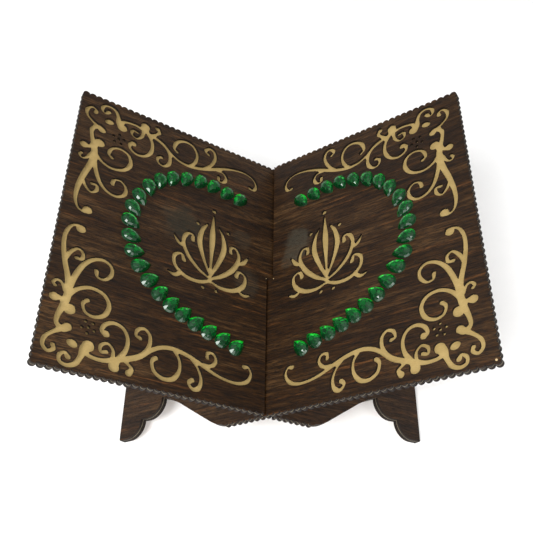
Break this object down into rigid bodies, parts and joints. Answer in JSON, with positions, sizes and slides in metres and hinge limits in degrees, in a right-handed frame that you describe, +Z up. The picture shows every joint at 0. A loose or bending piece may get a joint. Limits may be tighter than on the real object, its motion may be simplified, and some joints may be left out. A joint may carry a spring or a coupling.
{
  "type": "quran stand",
  "caption": "Folding book stand whose slotted, crossing boards hold an open book in a V; fretted, scalloped and set with pear-shaped stones.",
  "frame": {"origin": "on the floor, under the middle of the hinge line", "axes": "+X towards the right wing, +Y along the hinge line from the near end to the far end, +Z up"},
  "size_m": [0.3754, 0.294, 0.2244],
  "materials": {
    "walnut_front": "dark walnut film, satin, on a thin fretted sheet with burnt cut edges",
    "gold_back": "brushed gold film on the upper face of a plain board with burnt cut edges",
    "gem": "foil-backed faceted emerald green stone"
  },
  "bodies": {
    "left_board": {"left_board_front_sheet": "walnut_front", "left_board_back_sheet": "gold_back", "left_gem_01": "gem", "left_gem_02": "gem", "left_gem_03": "gem", "left_gem_04": "gem", "left_gem_05": "gem", "left_gem_06": "gem", "left_gem_07": "gem", "left_gem_08": "gem", "left_gem_09": "gem", "left_gem_10": "gem", "left_gem_11": "gem", "left_gem_12": "gem", "left_gem_13": "gem", "left_gem_14": "gem", "left_gem_15": "gem", "left_gem_16": "gem", "left_gem_17": "gem", "left_gem_18": "gem", "left_gem_19": "gem", "left_gem_20": "gem", "left_gem_21": "gem", "left_gem_22": "gem"},
    "right_board": {"right_board_front_sheet": "walnut_front", "right_board_back_sheet": "gold_back", "right_gem_01": "gem", "right_gem_02": "gem", "right_gem_03": "gem", "right_gem_04": "gem", "right_gem_05": "gem", "right_gem_06": "gem", "right_gem_07": "gem", "right_gem_08": "gem", "right_gem_09": "gem", "right_gem_10": "gem", "right_gem_11": "gem", "right_gem_12": "gem", "right_gem_13": "gem", "right_gem_14": "gem", "right_gem_15": "gem", "right_gem_16": "gem", "right_gem_17": "gem", "right_gem_18": "gem", "right_gem_19": "gem", "right_gem_20": "gem", "right_gem_21": "gem", "right_gem_22": "gem"}
  },
  "joints": [
    {"name": "stand_hinge", "type": "hinge", "parent": "left_board", "child": "right_board", "pos_m": [0, 0, 0.10277], "axis": [0, -1, 0], "range_deg": [0, 49]}
  ]
}
